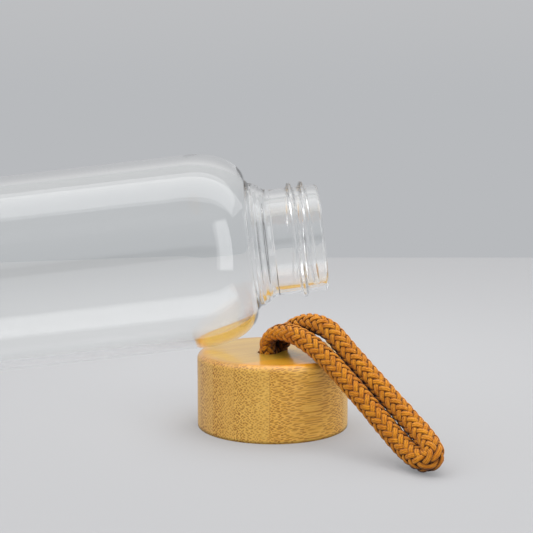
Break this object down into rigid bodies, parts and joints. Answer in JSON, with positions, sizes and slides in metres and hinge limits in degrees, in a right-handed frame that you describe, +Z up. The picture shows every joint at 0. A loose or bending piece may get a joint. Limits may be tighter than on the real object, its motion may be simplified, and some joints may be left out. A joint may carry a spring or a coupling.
{
  "type": "glass water bottle",
  "caption": "Clear thick-walled glass water bottle lying with its shoulder on its laminated bamboo screw cap, whose braided rope carrying loop hangs over the edge to the table.",
  "frame": {"origin": "on the table, under the middle of the bottle and cap together", "axes": "+Z up; +X along the lying bottle from its base towards its mouth, seen from above; +Y away from the side where the rope loop hangs"},
  "size_m": [0.2998, 0.0986, 0.0894],
  "materials": {
    "clear_glass": "clear polished",
    "bamboo": "satin lacquer",
    "insert_plastic": "moulded satin",
    "silicone": "matte translucent",
    "set_glue": "dull",
    "rope_cotton": "braided"
  },
  "bodies": {
    "cap": {"bamboo_strip_1": "bamboo", "bamboo_strip_2": "bamboo", "bamboo_strip_3": "bamboo", "bamboo_strip_4": "bamboo", "bamboo_strip_5": "bamboo", "bamboo_strip_6": "bamboo", "bamboo_strip_7": "bamboo", "threaded_insert": "insert_plastic", "silicone_seal": "silicone", "rope_anchor": "set_glue"},
    "bottle": {"glass_bottle": "clear_glass"},
    "rope": {"rope_loop": "rope_cotton"}
  },
  "joints": [
    {"name": "bottle_tip_up", "type": "hinge", "parent": "cap", "child": "bottle", "pos_m": [-0.12607, 0, 0.005], "axis": [0, -1, 0], "range_deg": [0, 83.4]},
    {"name": "rope_lift", "type": "hinge", "parent": "cap", "child": "rope", "pos_m": [0.11233, -0.007, 0.0248], "axis": [-0.77, -0.638, 0], "range_deg": [0, 22], "deforming": ["rope_loop"]}
  ]
}
